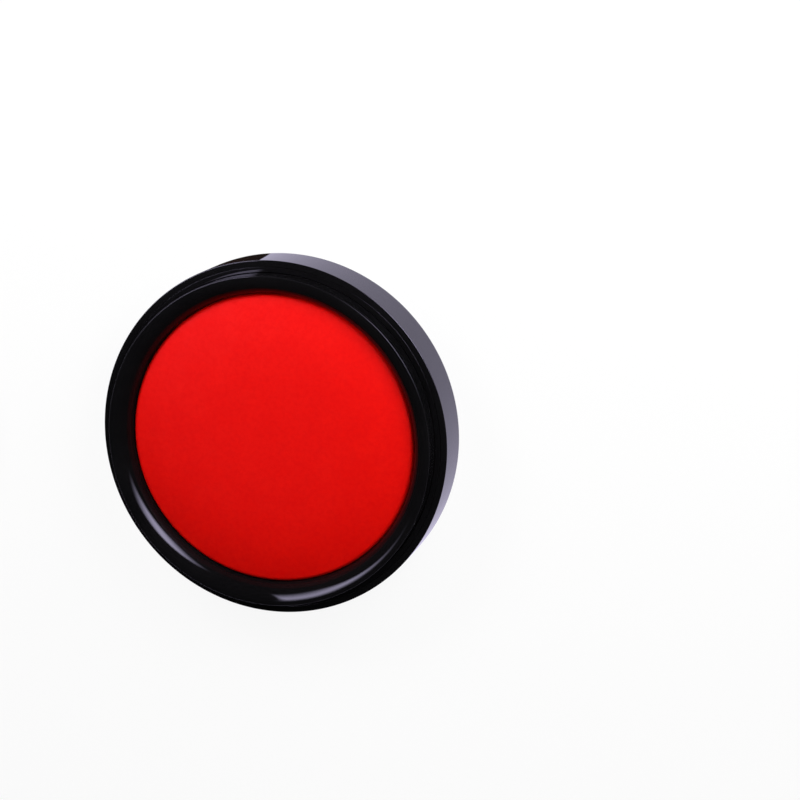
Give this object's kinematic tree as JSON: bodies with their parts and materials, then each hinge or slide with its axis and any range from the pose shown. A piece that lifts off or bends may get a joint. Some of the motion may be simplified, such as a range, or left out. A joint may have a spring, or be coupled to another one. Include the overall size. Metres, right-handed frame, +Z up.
{
  "type": "seal paste box",
  "caption": "Round glossy case with a cloth-covered vermilion paste pad for stamping seals, its push-on lid taken off and lying beside it.",
  "frame": {"origin": "on the table, halfway between the base's axis and the axis of the lid lying beside it", "axes": "+X from the lid towards the base, +Z up along the base's axis, away from the table"},
  "size_m": [0.2078, 0.0858, 0.0173],
  "materials": {
    "case_plastic": "high gloss, moulded",
    "pasted_cloth": "fine weave soaked with vermilion paste",
    "inked_sponge": "fine open sponge, soaked",
    "inked_felt": "dense felt, soaked",
    "backing_plastic": "plain sheet",
    "liner_foam": "soft closed-cell foam sheet",
    "label_paper": "plain satin, left bare"
  },
  "bodies": {
    "base": {"base_shell": "case_plastic", "inner_cup": "case_plastic", "pad_ring": "case_plastic", "pad_cloth": "pasted_cloth", "ink_sponge": "inked_sponge", "ink_felt": "inked_felt", "backing_disc": "backing_plastic"},
    "lid": {"lid_shell": "case_plastic", "lid_liner": "liner_foam", "lid_label": "label_paper"}
  },
  "joints": [
    {"name": "lid_turnover", "type": "hinge", "parent": "base", "child": "lid", "pos_m": [0, 0, 0.0113], "axis": [0, 1, 0], "range_deg": [0, 180]}
  ]
}
